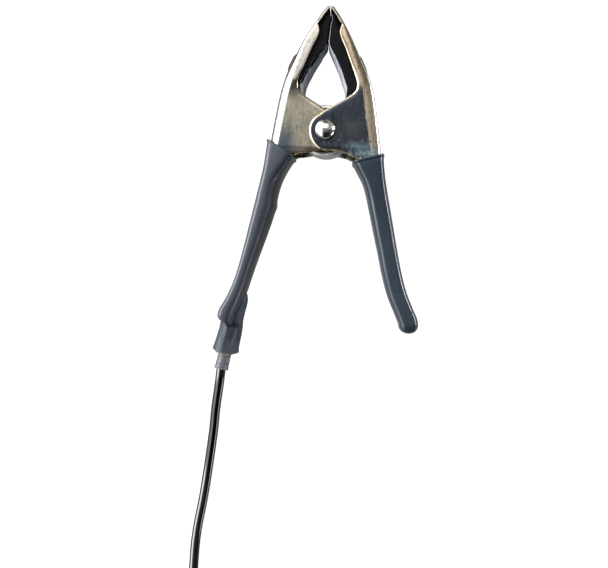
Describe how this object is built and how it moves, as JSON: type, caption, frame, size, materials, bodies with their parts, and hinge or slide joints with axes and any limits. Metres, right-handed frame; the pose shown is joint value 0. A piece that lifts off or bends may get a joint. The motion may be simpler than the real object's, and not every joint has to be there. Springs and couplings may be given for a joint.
{
  "type": "alligator clip lead",
  "caption": "Spring clip of two stamped steel levers with padded jaws and dipped grips, wired to a coiled test lead that ends in a banana plug.",
  "frame": {"origin": "on the pivot's axis, on the flat rear end of the pivot rivet, which is what the clip lies on", "axes": "+Z along the pivot, from the face it lies on to the domed rivet head; +Y from the pivot to the jaw tips; +X towards the outer lever"},
  "size_m": [0.1331, 0.3605, 0.0344],
  "materials": {
    "plated_steel": "yellow-passivated zinc plate, satin",
    "grip_pvc": "dipped PVC, semi-gloss slate",
    "jaw_rubber": "moulded rubber, matte black",
    "rivet_steel": "bright plated",
    "spring_wire": "drawn spring wire",
    "heat_shrink": "heat-shrink tubing, satin slate",
    "clear_tube": "soft translucent tubing",
    "cable_pvc": "gloss black PVC",
    "tinned_brass": "tin plated",
    "copper_strands": "bare copper strands",
    "plug_plastic": "moulded plastic, satin black",
    "nickel_brass": "nickel plated",
    "tie_nylon": "woven nylon strap"
  },
  "bodies": {
    "left_side": {"left_lever": "plated_steel", "left_jaw_pad": "jaw_rubber", "left_grip": "grip_pvc", "pivot_rivet": "rivet_steel", "spring_bush": "rivet_steel", "torsion_spring": "spring_wire", "ring_terminal": "tinned_brass", "terminal_rivet": "rivet_steel", "conductor_end": "copper_strands", "inner_wire": "cable_pvc", "entry_sleeve": "heat_shrink", "strain_tube": "clear_tube", "cable_run": "cable_pvc", "cable_coil": "cable_pvc", "cable_tail": "cable_pvc", "coil_tie": "tie_nylon", "plug_boot": "plug_plastic", "plug_body": "plug_plastic", "plug_pin": "nickel_brass", "plug_contact_spring": "nickel_brass", "plug_conductor": "copper_strands"},
    "right_side": {"right_lever": "plated_steel", "right_jaw_pad": "jaw_rubber", "right_grip": "grip_pvc"}
  },
  "joints": [
    {"name": "jaw_pivot", "type": "hinge", "parent": "left_side", "child": "right_side", "pos_m": [0, 0, 0.0165], "axis": [0, 0, -1], "range_deg": [0, 40], "stiffness_Nm_per_rad": 1, "springref_deg": -28.65, "deforming": ["torsion_spring"]}
  ]
}
